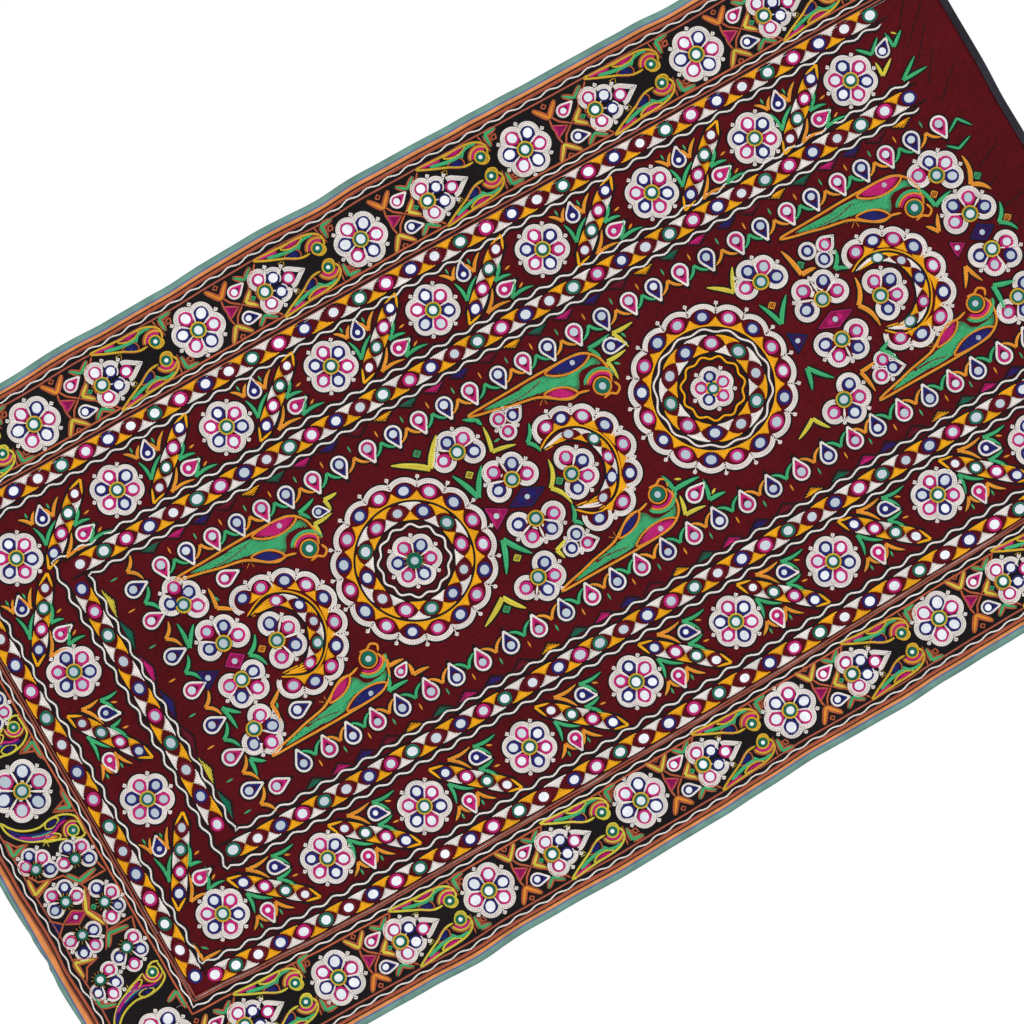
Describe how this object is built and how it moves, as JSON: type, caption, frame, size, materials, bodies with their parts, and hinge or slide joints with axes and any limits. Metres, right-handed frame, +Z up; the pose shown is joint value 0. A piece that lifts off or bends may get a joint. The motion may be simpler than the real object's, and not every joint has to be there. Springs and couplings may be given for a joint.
{
  "type": "embroidered wall hanging",
  "caption": "Tall embroidered mirror-work wall hanging, maroon ground with black borders on three sides, striped edging and a black tape folded over its top edge.",
  "frame": {"origin": "middle of the top edge, halfway through the cloth", "axes": "+Z up along the hanging's length, -Y out of the face that shows, +X to the right of someone who looks at that face"},
  "size_m": [0.685, 0.0106, 1.1623],
  "materials": {
    "maroon_cotton": "plain woven cotton",
    "black_cotton": "plain woven cotton",
    "striped_satin": "striped satin weave",
    "black_tape": "woven tape",
    "embroidery_thread": "cotton floss in many colours",
    "mirror_glass": "small pieces of silvered glass"
  },
  "bodies": {
    "root": {"ground_cloth": "maroon_cotton", "foot_border": "black_cotton", "side_border_left": "black_cotton", "side_border_right": "black_cotton", "foot_edging": "striped_satin", "side_edging_left": "striped_satin", "side_edging_right": "striped_satin", "top_tape": "black_tape"}
  },
  "joints": []
}
